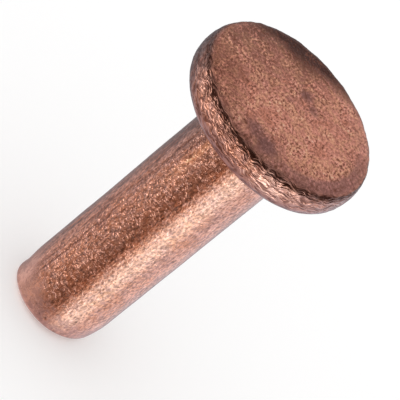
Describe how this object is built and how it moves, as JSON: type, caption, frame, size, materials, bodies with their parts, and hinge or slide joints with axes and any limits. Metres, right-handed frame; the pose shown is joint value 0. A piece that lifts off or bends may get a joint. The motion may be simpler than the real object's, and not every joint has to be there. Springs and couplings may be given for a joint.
{
  "type": "flat head rivet",
  "caption": "Solid copper rivet with a wide, flat round head, a plain round shank and a slightly narrowed flat tail end, to be hammered or pressed over.",
  "frame": {"origin": "centre of the shank in the plane of the seat, the flat underside of the head", "axes": "+Z along the rivet's axis, out of the face of the head; the shank runs along -Z; round, so X and Y are free"},
  "size_m": [0.0102, 0.0102, 0.0181],
  "materials": {
    "copper": "dull bare copper with light handling marks and thin brown oxide"
  },
  "bodies": {
    "root": {"rivet": "copper"}
  },
  "joints": []
}
